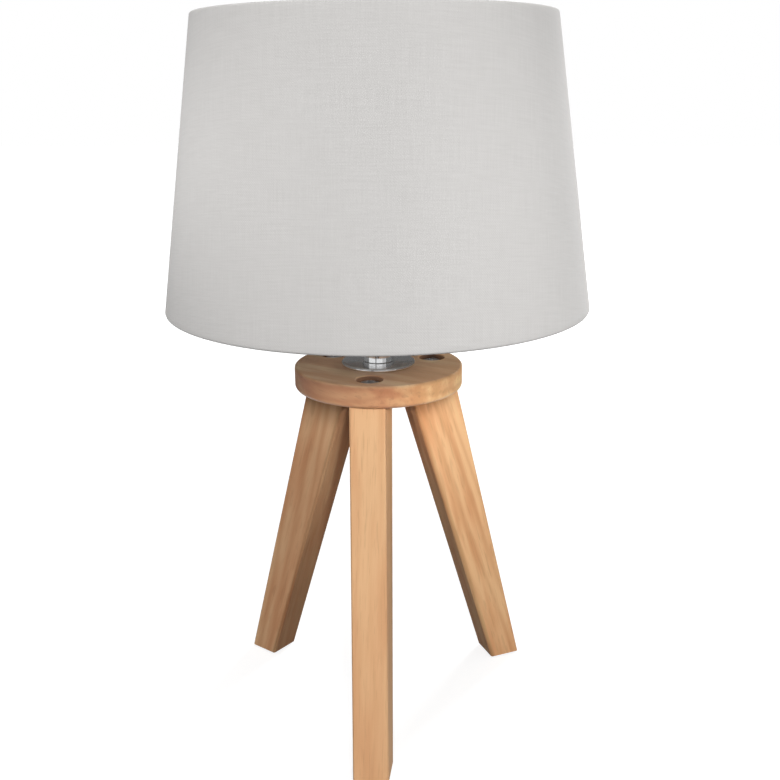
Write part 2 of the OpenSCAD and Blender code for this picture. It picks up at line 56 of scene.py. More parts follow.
def selectOnly(obj):
    clearSelection()
    obj.select_set(True)
    bpy.context.view_layer.objects.active = obj


def pickFaces(obj, wanted):
    # selects the faces that a test accepts, in edit mode
    cage = bmesh.from_edit_mesh(obj.data)
    for face in cage.faces:
        face.select = wanted(face)
    bmesh.update_edit_mesh(obj.data)


def startShape(name):
    # names the primitive just added and opens it for editing
    obj = bpy.context.object
    obj.name = name
    obj.data.name = name
    bpy.ops.object.mode_set(mode="EDIT")
    return obj


def closeShape(obj, smoothAngle=35):
    # cleans the mesh, turns its faces outwards and leaves edit mode
    bpy.ops.mesh.select_all(action="SELECT")
    bpy.ops.mesh.remove_doubles(threshold=mergeDistance)
    bpy.ops.mesh.normals_make_consistent(inside=False)
    bpy.ops.object.mode_set(mode="OBJECT")
    bpy.ops.object.shade_smooth_by_angle(angle=math.radians(smoothAngle))
    return obj


def drawOutline(name, outline):
    # draws an outline of (radius, height) points vertex by vertex and leaves it selected in edit mode
    clearSelection()
    bpy.ops.mesh.primitive_plane_add(size=0.001, location=(0, 0, 0))
    obj = startShape(name)
    bpy.ops.mesh.merge(type="CENTER")
    here = Vector((0, 0, 0))
    for step, (radius, height) in enumerate(outline):
        there = Vector((radius, 0, height))
        if step == 0:
            bpy.ops.transform.translate(value=there - here)
        else:
            bpy.ops.mesh.extrude_region_move(TRANSFORM_OT_translate={"value": there - here})
        here = there
    bpy.ops.mesh.select_all(action="SELECT")
    return obj


def spinShape(name, outline, steps=96, smoothAngle=35):
    obj = drawOutline(name, outline)
    bpy.ops.mesh.spin(steps=steps, angle=2 * math.pi, center=(0, 0, 0), axis=(0, 0, 1))
    return closeShape(obj, smoothAngle)


def arcPoints(centre, radius, start, end, count):
    # points on an arc in the outline's plane, with angles in degrees
    turns = [math.radians(start + (end - start) * i / count) for i in range(count + 1)]
    return [(centre[0] + radius * math.cos(t), centre[1] + radius * math.sin(t)) for t in turns]


def applyModifier(obj, kind, **settings):
    selectOnly(obj)
    bpy.ops.object.modifier_add(type=kind)
    modifier = obj.modifiers[-1]
    for key, value in settings.items():
        setattr(modifier, key, value)
    bpy.ops.object.modifier_apply(modifier=modifier.name)


def cutShape(obj, tool):
    # takes one closed shape away from another and throws the tool away
    applyModifier(obj, "BOOLEAN", operation="DIFFERENCE", object=tool, solver="EXACT")
    bpy.data.objects.remove(tool, do_unlink=True)


def joinShapes(first, others):
    clearSelection()
    for obj in [first, *others]:
        obj.select_set(True)
    bpy.context.view_layer.objects.active = first
    bpy.ops.object.join()
    return first


def placeShape(obj, offset=(0, 0, 0), turn=0):
    # moves a finished shape, turns it about Z and bakes its place into the mesh
    selectOnly(obj)
    obj.location = offset
    bpy.ops.object.transform_apply(location=True, rotation=True, scale=True)
    obj.rotation_euler = (0, 0, turn)
    bpy.ops.object.transform_apply(location=True, rotation=True, scale=True)
    return obj


def copyShape(obj, name):
    twin = obj.copy()
    twin.data = obj.data.copy()
    twin.name = name
    twin.data.name = name
    bpy.context.scene.collection.objects.link(twin)
    return twin


def ridgeShape(name, tooth, pitch, turns, startHeight, steps=64):
    # winds a tooth outline into a helical ridge with closed ends
    obj = drawOutline(name, [(radius, startHeight + height) for radius, height in [*tooth, tooth[0]]])
    bpy.ops.mesh.remove_doubles(threshold=mergeDistance)
    bpy.ops.object.mode_set(mode="OBJECT")
    applyModifier(obj, "SCREW", angle=2 * math.pi, screw_offset=pitch, iterations=turns, steps=steps,
                  render_steps=steps, use_merge_vertices=False)
    bpy.ops.object.mode_set(mode="EDIT")
    bpy.ops.mesh.select_all(action="DESELECT")
    bpy.ops.mesh.select_mode(type="EDGE")
    bpy.ops.mesh.select_non_manifold()
    bpy.ops.mesh.fill_holes(sides=0)
    bpy.ops.mesh.select_mode(type="VERT")
    return closeShape(obj, 30)


# material tools

class Signal:
    # one output of a node, on which Python's operators build Math nodes
    def __init__(self, recipe, socket):
        self.recipe = recipe
        self.socket = socket

    def calc(self, operation, *terms):
        return self.recipe.node("ShaderNodeMath", {"operation": operation}, dict(enumerate(terms)))

    def __add__(self, other):
        return self.calc("ADD", self, other)

    def __radd__(self, other):
        return self.calc("ADD", other, self)

    def __sub__(self, other):
        return self.calc("SUBTRACT", self, other)

    def __rsub__(self, other):
        return self.calc("SUBTRACT", other, self)

    def __mul__(self, other):
        return self.calc("MULTIPLY", self, other)

    def __rmul__(self, other):
        return self.calc("MULTIPLY", other, self)

    def __truediv__(self, other):
        return self.calc("DIVIDE", self, other)

    def __rtruediv__(self, other):
        return self.calc("DIVIDE", other, self)

    def __pow__(self, other):
        return self.calc("POWER", self, other)


class Recipe:
    # a material's node tree round one Principled shader
    def __init__(self, name, color, **finish):
        self.material = bpy.data.materials.new(name)
        self.material.use_nodes = True
        self.material.diffuse_color = (*color, 1)
        self.tree = self.material.node_tree
        self.tree.nodes.clear()
        output = self.tree.nodes.new("ShaderNodeOutputMaterial")
        self.shader = self.tree.nodes.new("ShaderNodeBsdfPrincipled")
        self.tree.links.new(self.shader.outputs[0], output.inputs["Surface"])
        self.set("Base Color", (*color, 1))
        for key, value in finish.items():
            self.set(key.replace("_", " "), value)

    def feed(self, socket, value):
        if isinstance(value, Signal):
            self.tree.links.new(value.socket, socket)
        else:
            socket.default_value = value

    def set(self, key, value):
        self.feed(self.shader.inputs[key], value)

    def node(self, kind, settings, sockets, output=0):
        # adds a node, sets it up, then gives its sockets their values or links
        made = self.tree.nodes.new(kind)
        for key, value in settings.items():
            if key == "stops":
                while len(made.color_ramp.elements) < len(value):
                    made.color_ramp.elements.new(0.5)
                for element, (place, color) in zip(made.color_ramp.elements, value):
                    element.position = place
                    element.color = (*color, 1)
            else:
                setattr(made, key, value)
        for key, value in sockets.items():
            self.feed(made.inputs[key], value)
        return Signal(self, made.outputs[output])

    def mix(self, factor, first, second, blend="MIX"):
        return self.node("ShaderNodeMix", {"data_type": "RGBA", "blend_type": blend},
                         {0: factor, 6: first, 7: second}, 2)

    def tint(self, color, tone):
        return self.mix(1.0, color, (*tone, 1), "MULTIPLY")

    def scaled(self, vector, factor):
        return self.node("ShaderNodeVectorMath", {"operation": "SCALE"}, {0: vector, "Scale": factor})

    def split(self, vector):
        # the vector's X, Y and Z, each as a signal of its own
        parts = self.node("ShaderNodeSeparateXYZ", {}, {"Vector": vector}).socket.node.outputs
        return [Signal(self, part) for part in parts]

    def ramp(self, factor, stops):
        return self.node("ShaderNodeValToRGB", {"stops": stops}, {0: factor})

    def rise(self, factor, start, end):
        # 0 up to start, 1 from end on
        return self.ramp(factor, [(start, (0, 0, 0)), (end, (1, 1, 1))])

    def fall(self, factor, start, end):
        # 1 up to start, 0 from end on
        return self.ramp(factor, [(start, (1, 1, 1)), (end, (0, 0, 0))])

    def objectPoint(self):
        return self.node("ShaderNodeTexCoord", {}, {}, "Object")

    def mapped(self, vector, scale=(1, 1, 1), turn=(0, 0, 0), shift=(0, 0, 0)):
        return self.node("ShaderNodeMapping", {"vector_type": "POINT"},
                         {"Vector": vector, "Scale": scale, "Rotation": turn, "Location": shift})

    def noise(self, vector, scale, detail=2.0, rough=0.5):
        return self.node("ShaderNodeTexNoise", {},
                         {"Vector": vector, "Scale": scale, "Detail": detail, "Roughness": rough})

    def layer(self, vector, stretch, size=1, detail=2, rough=0.5, shift=(0, 0, 0)):
        # noise that is drawn out along an axis
        return self.noise(self.mapped(vector, scale=stretch, shift=shift), size, detail, rough)

    def bump(self, height, strength, distance):
        self.set("Normal", self.node("ShaderNodeBump", {},
                                     {"Height": height, "Strength": strength, "Distance": distance}))


def gray(value):
    return (value, value, value, 1)


# wood

woodSettings = {
    "pale": (0.86, 0.56, 0.31),
    "warm": (0.75, 0.40, 0.205),
    "late": (0.60, 0.295, 0.14),
    "pore": (0.36, 0.17, 0.08),
    # painted shade: the dark colour inside the drilled recesses
    "recessShade": (0.22, 0.115, 0.065),
    "slowWander": 0.016,
    "driftWander": 0.03,
    "bend": 0.012,
    "ringSharpness": 2.6,
    "poreRange": (0.60, 0.70),
    "dashRange": (0.68, 0.74),
    "redRange": (0.42, 0.59),
    "bandShare": 1.6,
    "fibreShare": 0.35,
    "poreShare": 0.14,
    "dashShare": 0.16,
    "roughSpread": 0.16,
    "relief": 0.22,
    "reliefDepth": 0.0003,
}
woodLayers = {
    "slow": {"stretch": (1, 1, 0.16), "size": 26, "detail": 3, "rough": 0.55},
    "drift": {"stretch": (1, 1, 0.3), "size": 9, "shift": (3, 1, 2)},
    "fibre": {"stretch": (1500, 1500, 26), "detail": 3, "rough": 0.6},
    "pore": {"stretch": (1100, 1100, 75), "detail": 1, "rough": 0.4, "shift": (5, 5, 5)},
    "dash": {"stretch": (420, 420, 46), "detail": 0, "rough": 0.4, "shift": (8, 3, 6)},
    "band": {"stretch": (1, 1, 0.09), "size": 150, "shift": (2, 6, 1)},
    "patch": {"stretch": (1, 1, 0.22), "size": 48, "shift": (9, 2, 4)},
}
# painted shade on a leg's inner side, a darker tone where little light falls: offset and slope give that
# side in the grain's X and Z
innerShadeSettings = {
    "tone": (0.56, 0.52, 0.48),
    "offset": 0.07554,
    "slope": -0.02508,
    "ragged": 0.003,
    "range": (0.0008, 0.0026),
    "fade": 3.2,
}
# painted light on the disc: its top gets a greyer tone that paints the sheen and shade light puts there,
# darker towards +X, and its side is painted lighter towards +X where light falls from the right
discSettings = {
    "topLightTone": (0.96, 1.41, 1.84),
    "topLightRange": (0.2136, 0.2143),
    "topShadeSlope": 4.5,
    "sideLightTone": (1.33, 1.72, 1.75),
    "sideLightRange": (0.012, 0.038),
    "sideLightRagged": 0.02,
    "recessShadeRange": (0.00757, 0.00772),
}


def ranged(values, factor):
    # both ends of a range, times the factor that spreads it over a ramp
    return [value * factor for value in values]


def recessShade(recipe, drillings):
    # 1 inside the drilled recesses, whose wood is painted darker as shade
    flat = recipe.node("ShaderNodeVectorMath", {"operation": "MULTIPLY"},
                       {0: recipe.objectPoint(), 1: (1, 1, 0)})
    nearest = None
    for centre in drillings:
        away = recipe.node("ShaderNodeVectorMath", {"operation": "DISTANCE"},
                           {0: flat, 1: centre}, "Value")
        nearest = away if nearest is None else nearest.calc("MINIMUM", nearest, away)
    return recipe.fall(nearest * 100, *ranged(discSettings["recessShadeRange"], 100))


def paintInnerSideShade(recipe, toned, outward, height, slow, share):
    # paints shade on a leg's inner side, less towards the leg's top
    inside = innerShadeSettings
    depth = outward - height * inside["slope"] - inside["offset"]
    ragged = depth + (slow - 0.5) * inside["ragged"]
    shadeMark = recipe.fall(ragged * 100, *ranged(inside["range"], 100))
    # a darker copy of the wood, painted on the inner side as shade
    dark = recipe.tint(toned, inside["tone"])
    return recipe.mix(shadeMark * share * (1.0 - height * inside["fade"]), toned, dark)


def paintDiscLight(recipe, toned, slow, drillings):
    # paints light and shade on the disc's top and side, and painted shade in its recesses
    disc = discSettings
    place = recipe.split(recipe.objectPoint())
    east = place[0]
    height = place[2]
    # painted sheen and shade on the top face
    topLightMark = recipe.rise(height * 4, *ranged(disc["topLightRange"], 4))
    # painted light on the side's right end
    sideLightMark = recipe.rise((east + (slow - 0.5) * disc["sideLightRagged"]) * 10, *ranged(disc["sideLightRange"], 10))
    side = recipe.mix(sideLightMark, toned, recipe.tint(toned, disc["sideLightTone"]))
    # painted shade across the top, darker towards +X
    topShaded = recipe.scaled(toned, 1.0 - east * disc["topShadeSlope"])
    faces = recipe.mix(topLightMark, side, recipe.tint(topShaded, disc["topLightTone"]))
    return recipe.mix(recessShade(recipe, drillings), faces, (*woodSettings["recessShade"], 1))


def woodMaterial(name, turn, lean, pith, ringPitch, tone, seed, lateShare=1.0, fade=0.0, middle=0.1,
                 drillings=(), gloss=0.08, rough=0.6, innerShade=0.0):
    # rings round a pith that lies along the grain, which is the material's own Z after turn and lean
    wood = woodSettings
    recipe = Recipe(name, wood["pale"], Roughness=rough, Specular_IOR_Level=gloss)
    upright = recipe.mapped(recipe.objectPoint(), turn=(0, 0, math.radians(turn)))
    grain = recipe.mapped(upright, turn=(0, math.radians(lean), 0), shift=(pith[0], pith[1], seed))
    slow = recipe.layer(grain, **woodLayers["slow"])
    drift = recipe.layer(grain, **woodLayers["drift"])
    outward, across, along = recipe.split(grain)
    wander = (slow - 0.5) * wood["slowWander"] + (drift - 0.5) * wood["driftWander"] + along * pith[2]
    sideways = outward + wander
    radius = (sideways * sideways + across * across) ** 0.5
    phase = radius * (2 * math.pi / ringPitch)
    ring = (phase.calc("SINE", phase) * 0.5 + 0.5) ** wood["ringSharpness"]
    fibre = recipe.layer(grain, **woodLayers["fibre"])
    poreMark = recipe.rise(recipe.layer(grain, **woodLayers["pore"]), *wood["poreRange"])
    dashMark = recipe.rise(recipe.layer(grain, **woodLayers["dash"]), *wood["dashRange"])
    bend = recipe.node("ShaderNodeCombineXYZ", {},
                       {"X": (slow - 0.5) * wood["bend"], "Y": (drift - 0.5) * wood["bend"]})
    wavy = recipe.node("ShaderNodeVectorMath", {"operation": "ADD"}, {0: grain, 1: bend})
    band = recipe.layer(wavy, **woodLayers["band"])
    patch = recipe.layer(wavy, **woodLayers["patch"])
    redness = recipe.rise(patch * 0.5 + band * 0.5, *wood["redRange"])
    late = (*wood["late"], 1)
    body = recipe.mix(redness * lateShare, (*wood["pale"], 1), (*wood["warm"], 1))
    ringed = recipe.mix(ring * (drift * 0.6 + 0.05) * lateShare, body, late)
    lined = recipe.mix((band - 0.5) * wood["bandShare"] * lateShare, ringed, late)
    streaked = recipe.mix((fibre - 0.42) * wood["fibreShare"], lined, late)
    holes = poreMark * wood["poreShare"] + dashMark * wood["dashShare"] * lateShare
    pored = recipe.mix(holes, streaked, (*wood["pore"], 1))
    # painted light: the wood grows lighter or darker along the grain by fade, as the lamps fall off down a
    # leg and across the disc
    lightGraded = recipe.scaled(pored, (along - (seed + middle)) * fade + 1.0)
    toned = recipe.tint(lightGraded, tone)
    # painted shade on a leg's inner side
    if innerShade:
        toned = paintInnerSideShade(recipe, toned, outward - pith[0], along - seed, slow, innerShade)
    # painted light and shade on the disc's top, side and recesses
    if drillings:
        toned = paintDiscLight(recipe, toned, slow, drillings)
    recipe.set("Base Color", toned)
    recipe.set("Roughness", fibre * wood["roughSpread"] + (rough - wood["roughSpread"] / 2))
    recipe.bump(fibre * 0.7 + ring * 0.3 - poreMark * 0.5, wood["relief"], wood["reliefDepth"])
    return recipe.material


# metals

metalSettings = {
    "chrome": {"color": (0.86, 0.865, 0.87), "rough": 0.07, "spread": 0.05},
    "zinc": {"color": (0.58, 0.59, 0.61), "rough": 0.3, "spread": 0.14},
    "brass": {"color": (0.78, 0.56, 0.26), "rough": 0.28, "spread": 0.14},
    "bulbMetal": {"color": (0.74, 0.74, 0.75), "rough": 0.26, "spread": 0.1},
}
metalGrain = {"cloud": 260, "dullRange": (0.45, 0.75), "darker": 0.72, "scratch": (900, 900, 4200),
              "relief": 0.04, "reliefDepth": 0.00005}


def metalMaterial(name, kind, wear):
    # bare metal with dull clouds and fine scratches
    metal = metalSettings[kind]
    color = metal["color"]
    spread = metal["spread"]
    recipe = Recipe(name, color, Metallic=1.0, Roughness=metal["rough"])
    point = recipe.objectPoint()
    cloud = recipe.noise(point, metalGrain["cloud"], 4, 0.6)
    scratch = recipe.layer(point, metalGrain["scratch"])
    dull = recipe.rise(cloud, *metalGrain["dullRange"])
    dark = tuple(metalGrain["darker"] * part for part in color)
    recipe.set("Base Color", recipe.mix(dull * wear, (*color, 1), (*dark, 1)))
    recipe.set("Roughness", dull * spread + scratch * spread * 0.5 + metal["rough"])
    recipe.bump(scratch, metalGrain["relief"], metalGrain["reliefDepth"])
    return recipe.material


# plastics, paint, ceramic

mouldedSettings = {"smear": 70, "smearRange": (0.4, 0.8), "smearShare": 0.5, "darker": 0.9,
                   "roughSpread": 0.12, "reliefDepth": 0.0001}


def mouldedMaterial(name, color, rough, grainScale=1800, grainDepth=0.03, **finish):
    # moulded or painted surface with a fine orange-peel and a trace of handling
    moulded = mouldedSettings
    recipe = Recipe(name, color, Roughness=rough, **finish)
    point = recipe.objectPoint()
    peel = recipe.noise(point, grainScale, 2, 0.5)
    smear = recipe.noise(point, moulded["smear"], 3, 0.6)
    share = recipe.rise(smear, *moulded["smearRange"]) * moulded["smearShare"]
    handled = tuple(moulded["darker"] * part for part in color)
    recipe.set("Base Color", recipe.mix(share, (*color, 1), (*handled, 1)))
    recipe.set("Roughness", smear * moulded["roughSpread"] + (rough - moulded["roughSpread"] / 2))
    recipe.bump(peel, grainDepth, moulded["reliefDepth"])
    return recipe.material


feltSettings = {"hair": 2600, "clump": 420, "lighter": 2.1, "lightShare": 1.6, "relief": 0.6,
                "reliefDepth": 0.0003}


def feltMaterial(name, color):
    felt = feltSettings
    recipe = Recipe(name, color, Roughness=0.95, Sheen_Weight=0.4, Sheen_Roughness=0.5)
    point = recipe.objectPoint()
    hair = recipe.noise(point, felt["hair"], 5, 0.7)
    clump = recipe.noise(point, felt["clump"], 3, 0.6)
    light = tuple(felt["lighter"] * part for part in color)
    recipe.set("Base Color", recipe.mix(hair * clump * felt["lightShare"], (*color, 1), (*light, 1)))
    recipe.bump(hair + clump, felt["relief"], felt["reliefDepth"])
    return recipe.material


# shade fabric

shade = {
    "bottomRadius": 0.12,
    "topRadius": 0.097,
    "height": 0.157,
    "threadPitch": 0.00062,
    "color": (0.560, 0.548, 0.536),
    "dark": (0.525, 0.513, 0.501),
    "light": (0.592, 0.580, 0.568),
}
shadeSlope = (shade["bottomRadius"] - shade["topRadius"]) / shade["height"]


weaveSettings = {
    "drawnOut": 0.03,
    "slub": (0.05, 0.4, 1),
    "slubShare": 0.35,
    "gapShare": 0.22,
    "relief": 0.24,
    "reliefDepth": 0.00025,
}


def fabricMaterial(name, color, dark, light):
    # a plain linen weave laid out on the flat pattern that rolls up into the cone
    weave = weaveSettings
    recipe = Recipe(name, color, Roughness=0.88, Sheen_Weight=0.12, Sheen_Roughness=0.6)
    stretch = math.sqrt(1 + shadeSlope ** 2)
    sine = shadeSlope / stretch
    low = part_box("shade_cover")[0]
    east, north, up = recipe.split(recipe.objectPoint())
    apexHeight = low.z + shade["bottomRadius"] / shadeSlope
    slant = (apexHeight - up) * stretch
    angle = east.calc("ARCTAN2", east, north * -1) * sine
    pitch = shade["threadPitch"]
    weft = slant * angle.calc("SINE", angle) / pitch
    warp = slant * angle.calc("COSINE", angle) / pitch
    flat = recipe.node("ShaderNodeCombineXYZ", {}, {"X": weft, "Y": warp})
    weftTone = recipe.layer(flat, (1, weave["drawnOut"], 1))
    warpTone = recipe.layer(flat, (weave["drawnOut"], 1, 1), shift=(40, 7, 3))
    slub = recipe.layer(flat, weave["slub"], detail=3, rough=0.6, shift=(5, 90, 1))
    cross = weft.calc("SINE", weft * math.pi) * warp.calc("SINE", warp * math.pi)
    weftRound = weft.calc("COSINE", weft * (2 * math.pi))
    warpRound = warp.calc("COSINE", warp * (2 * math.pi))
    height = cross * 0.5 + weftRound * 0.25 + warpRound * 0.25
    tone = weftTone * 0.5 + warpTone * 0.5 + (slub - 0.5) * weave["slubShare"]
    threads = recipe.ramp(tone, [(0.28, dark), (0.5, color), (0.72, light)])
    shadowed = recipe.mix((height * -0.5 + 0.5) * weave["gapShare"], threads, (*dark, 1))
    recipe.set("Base Color", shadowed)
    recipe.set("Roughness", tone * 0.1 + 0.82)
    recipe.bump(height * 0.6 + tone * 0.6, weave["relief"], weave["reliefDepth"])
    return recipe.material


linerSettings = {
    "color": (0.68, 0.668, 0.645),
    "light": (0.70, 0.688, 0.664),
    "dark": (0.65, 0.638, 0.612),
    "rough": 0.36,
    "roughSpread": 0.14,
    "cloud": 45,
    "grain": 2400,
    "relief": 0.05,
    "reliefDepth": 0.0001,
}


def linerMaterial(name):
    liner = linerSettings
    recipe = Recipe(name, liner["color"], Roughness=0.42)
    point = recipe.objectPoint()
    cloud = recipe.noise(point, liner["cloud"], 3, 0.55)
    grain = recipe.noise(point, liner["grain"], 2, 0.5)
    recipe.set("Base Color", recipe.mix(cloud, (*liner["light"], 1), (*liner["dark"], 1)))
    recipe.set("Roughness", cloud * liner["roughSpread"] + liner["rough"])
    recipe.bump(grain, liner["relief"], liner["reliefDepth"])
    return recipe.material


# the wooden pieces: how each is cut from its board, and the board's tone; the legs' tones are partly their
# wood and partly painted light, the left leg darker as painted shade and the right leg lighter as painted
# light
legLean = math.degrees(math.atan2(0.059, 0.2005))
legTurns = {"leg_front": -90, "leg_right": 30, "leg_left": 150}
screwCircle = 0.0344
screwPlaces = [(screwCircle * math.cos(turn), screwCircle * math.sin(turn), 0)
               for turn in map(math.radians, legTurns.values())]
boards = {
    "leg_front": {"turn": 90, "lean": legLean, "pith": (0.018, 0.012, 0.03), "ringPitch": 0.0075,
                  "seed": 1.3, "tone": (0.97, 0.915, 0.89), "lateShare": 0.45, "fade": 0.4, "innerShade": 0.7},
    "leg_right": {"turn": -30, "lean": legLean, "pith": (0.002, 0.021, 0.06), "ringPitch": 0.0085,
                  "seed": 4.1, "tone": (1.14, 1.08, 1.02), "fade": 0.9, "innerShade": 0.75},
    # the left leg's darker tone is partly painted shade
    "leg_left": {"turn": -150, "lean": legLean, "pith": (0.004, -0.019, -0.05), "ringPitch": 0.0090,
                 "seed": 7.7, "tone": (0.83, 0.79, 0.80), "lateShare": 0.9, "fade": 0.4, "innerShade": 1.1},
    "disc": {"turn": 25, "lean": 82, "pith": (0.03, 0.016, 0.22), "ringPitch": 0.0080, "seed": 2.6,
             "tone": (0.66, 0.525, 0.46), "lateShare": 1.2, "fade": -6.0, "middle": 0.029,
             "drillings": screwPlaces, "gloss": 0.85, "rough": 0.45},
    "dowel": {"turn": 0, "lean": 0, "pith": (0.004, 0.003, 0.0), "ringPitch": 0.0030, "seed": 5.0,
              "tone": (0.86, 0.82, 0.78), "lateShare": 0.6},
}

materials = {board: woodMaterial("wood_" + board, **cut) for board, cut in boards.items()}
materials.update({
    "chrome": metalMaterial("polished_chrome", "chrome", 0.05),
    "zinc": metalMaterial("zinc_plated_steel", "zinc", 0.35),
    "brass": metalMaterial("brass", "brass", 0.3),
    "bulbMetal": metalMaterial("bulb_cap_metal", "bulbMetal", 0.2),
    "felt": feltMaterial("foot_felt", (0.10, 0.075, 0.055)),
    "black": mouldedMaterial("black_plastic", (0.022, 0.022, 0.024), 0.42),
    "holder": mouldedMaterial("holder_plastic", (0.80, 0.79, 0.765), 0.3),
    "ceramic": mouldedMaterial("core_ceramic", (0.80, 0.79, 0.76), 0.55, 900, 0.06),
    "paint": mouldedMaterial("painted_wire", (0.76, 0.75, 0.73), 0.36, 1300, 0.05, Coat_Weight=0.2),
    "bulbPlastic": mouldedMaterial("bulb_housing_plastic", (0.82, 0.82, 0.81), 0.34),
    "diffuser": mouldedMaterial("bulb_diffuser", (0.86, 0.855, 0.84), 0.38, 2500, 0.02),
    "fabric": fabricMaterial("shade_linen", shade["color"], shade["dark"], shade["light"]),
    "liner": linerMaterial("liner_sheet"),
})
print("materials made:", len(materials))

cadFinish = {
    "top_disc": "disc", "leg_front": "leg_front", "leg_right": "leg_right", "leg_left": "leg_left",
    "leg_screws": "zinc", "leg_washers": "zinc", "leg_inserts": "brass", "leg_dowels": "dowel",
    "foot_pads": "felt", "cover_plate": "chrome", "stem_tube": "chrome", "threaded_tube": "zinc",
    "tube_washer": "zinc", "tube_nut": "zinc", "cord_bush": "black", "holder_cap": "holder",
    "holder_skirt": "holder", "holder_core": "ceramic", "screw_shell": "brass", "centre_contact": "brass",
    "terminal_screws": "brass", "shade_ring": "holder", "fitter_ring": "paint", "spider_arms": "paint",
    "shade_bottom_wire": "paint", "shade_top_wire": "paint", "shade_liner": "liner",
    "shade_cover": "fabric", "bulb_tip": "brass", "bulb_insulator": "black",
    "bulb_screw_cap": "bulbMetal", "bulb_housing": "bulbPlastic", "bulb_board": "bulbMetal",
    "bulb_globe": "diffuser",
}
for nodeName, finish in cadFinish.items():
    for materialSlot in cadNodes[nodeName].material_slots:
        materialSlot.material = materials[finish]


def finishPiece(obj, material, body, slot, *replaced):
    # gives a new piece its material and its body and hides the CAD nodes it stands for; its slot argument
    # is not used
    obj.data.materials.clear()
    obj.data.materials.append(materials[material])
    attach(obj, body)
    if replaced:
        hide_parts(*replaced)
    return obj


# shade cover

coverSettings = {
    "thickness": 0.0006,
    "wrapRadius": 0.0021,
    "steps": 192,
    "wireRadius": 0.0015,
    "corner": 0.0012,
    "straightFrom": 0.004,
    "seamWidth": 0.012,
    "seamShort": 0.003,
    "seamThickness": 0.0005,
    "seamEase": 0.0016,
    "seamEdge": 0.35,
    "seamSink": 0.0002,
}


def wireCentre(node):
    # radius and height of an edge wire's core
    low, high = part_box(node)
    return high.x - coverSettings["wireRadius"], (low.z + high.z) / 2


def makeShadeCover():
    # the fabric, rolled round the wire at either edge
    cover = coverSettings
    low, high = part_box("shade_cover")
    lean = math.atan(shadeSlope)
    thick = cover["thickness"]
    wrap = cover["wrapRadius"]
    corner = cover["corner"]
    bottomWire = wireCentre("shade_bottom_wire")
    topWire = wireCentre("shade_top_wire")

    def wallRadius(height, depth):
        return shade["bottomRadius"] - (height - low.z) * shadeSlope - depth / math.cos(lean)

    straight = cover["straightFrom"]
    heights = [low.z + straight + (shade["height"] - 2 * straight) * i / 24 for i in range(25)]
    outside = [(wallRadius(z, 0), z) for z in heights]
    inside = [(wallRadius(z, thick), z) for z in reversed(heights)]
    topTurn = (wallRadius(high.z - corner, corner), high.z - corner)
    lowTurn = (wallRadius(low.z + corner, corner), low.z + corner)
    tilt = math.degrees(lean)
    topCorner = arcPoints(topTurn, corner, tilt, 90, 5)
    topRoll = arcPoints(topWire, wrap, 90, 265, 10)
    topBack = arcPoints(topWire, wrap - thick, 265, 90, 10)
    topInner = arcPoints(topTurn, corner - thick, 90, tilt, 4)
    lowInner = arcPoints(lowTurn, corner - thick, tilt, -90, 4)
    lowBack = arcPoints(bottomWire, wrap - thick, -90, -265, 10)
    lowRoll = arcPoints(bottomWire, wrap, -265, -90, 10)
    lowCorner = arcPoints(lowTurn, corner, -90, tilt, 5)
    outline = [*outside, *topCorner, *topRoll, *topBack, *topInner,
               *inside, *lowInner, *lowBack, *lowRoll, *lowCorner]
    outline.append(outline[0])
    obj = spinShape("shade_fabric_cover", outline, cover["steps"], 40)
    finishPiece(obj, "fabric", "shade", "shade_fabric", "shade_cover")
    return obj


def makeShadeSeam():
    # the lap where the fabric's ends meet, at the back
    cover = coverSettings
    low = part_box("shade_cover")[0]
    clearSelection()
    bpy.ops.mesh.primitive_grid_add(x_subdivisions=8, y_subdivisions=40, size=1, location=(0, 0, 0))
    obj = startShape("shade_seam")
    bpy.ops.mesh.select_all(action="SELECT")
    bpy.ops.transform.resize(value=(cover["seamWidth"], shade["height"] - cover["seamShort"], 1))
    bpy.ops.mesh.extrude_region_move(TRANSFORM_OT_translate={"value": (0, 0, cover["seamThickness"])})
    closeShape(obj, 40)
    for vertex in obj.data.vertices:
        height = low.z + shade["height"] / 2 + vertex.co.y
        wall = shade["bottomRadius"] - (height - low.z) * shadeSlope
        inner = min(1, (cover["seamWidth"] / 2 - abs(vertex.co.x)) / cover["seamEase"])
        thinned = cover["seamEdge"] + (1 - cover["seamEdge"]) * inner
        radius = wall - cover["seamSink"] + vertex.co.z * thinned
        angle = vertex.co.x / wall
        vertex.co = (radius * math.sin(angle), radius * math.cos(angle), height)
    obj.data.update()
    finishPiece(obj, "fabric", "shade", "shade_fabric")
    return obj


shadeCover = makeShadeCover()
shadeSeam = makeShadeSeam()
print("shade made")


# bright plate and stem

plateSettings = {"bore": 0.0052, "rim": 0.0011, "lip": 0.00025, "flatEdge": 0.00008}
stemSettings = {"bore": 0.0052, "lip": 0.0004, "flatEdge": 0.00008}


def makeCoverPlate():
    low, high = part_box("cover_plate")
    radius = high.x
    bore = plateSettings["bore"]
    rim = plateSettings["rim"]
    lip = plateSettings["lip"]
    flatEdge = plateSettings["flatEdge"]
    outline = [(bore, low.z), (radius - lip, low.z)]
    outline += arcPoints((radius - lip, low.z + lip), lip, -90, 0, 4)[1:]
    outline += arcPoints((radius - rim, high.z - rim), rim, 0, 90, 12)
    outline += [(radius - rim - flatEdge, high.z), (bore + flatEdge, high.z)]
    outline += [(bore, high.z), (bore, low.z)]
    obj = spinShape("cover_plate_polished", outline, 160, 28)
    finishPiece(obj, "chrome", "lamp_base", "chrome_plate", "cover_plate")


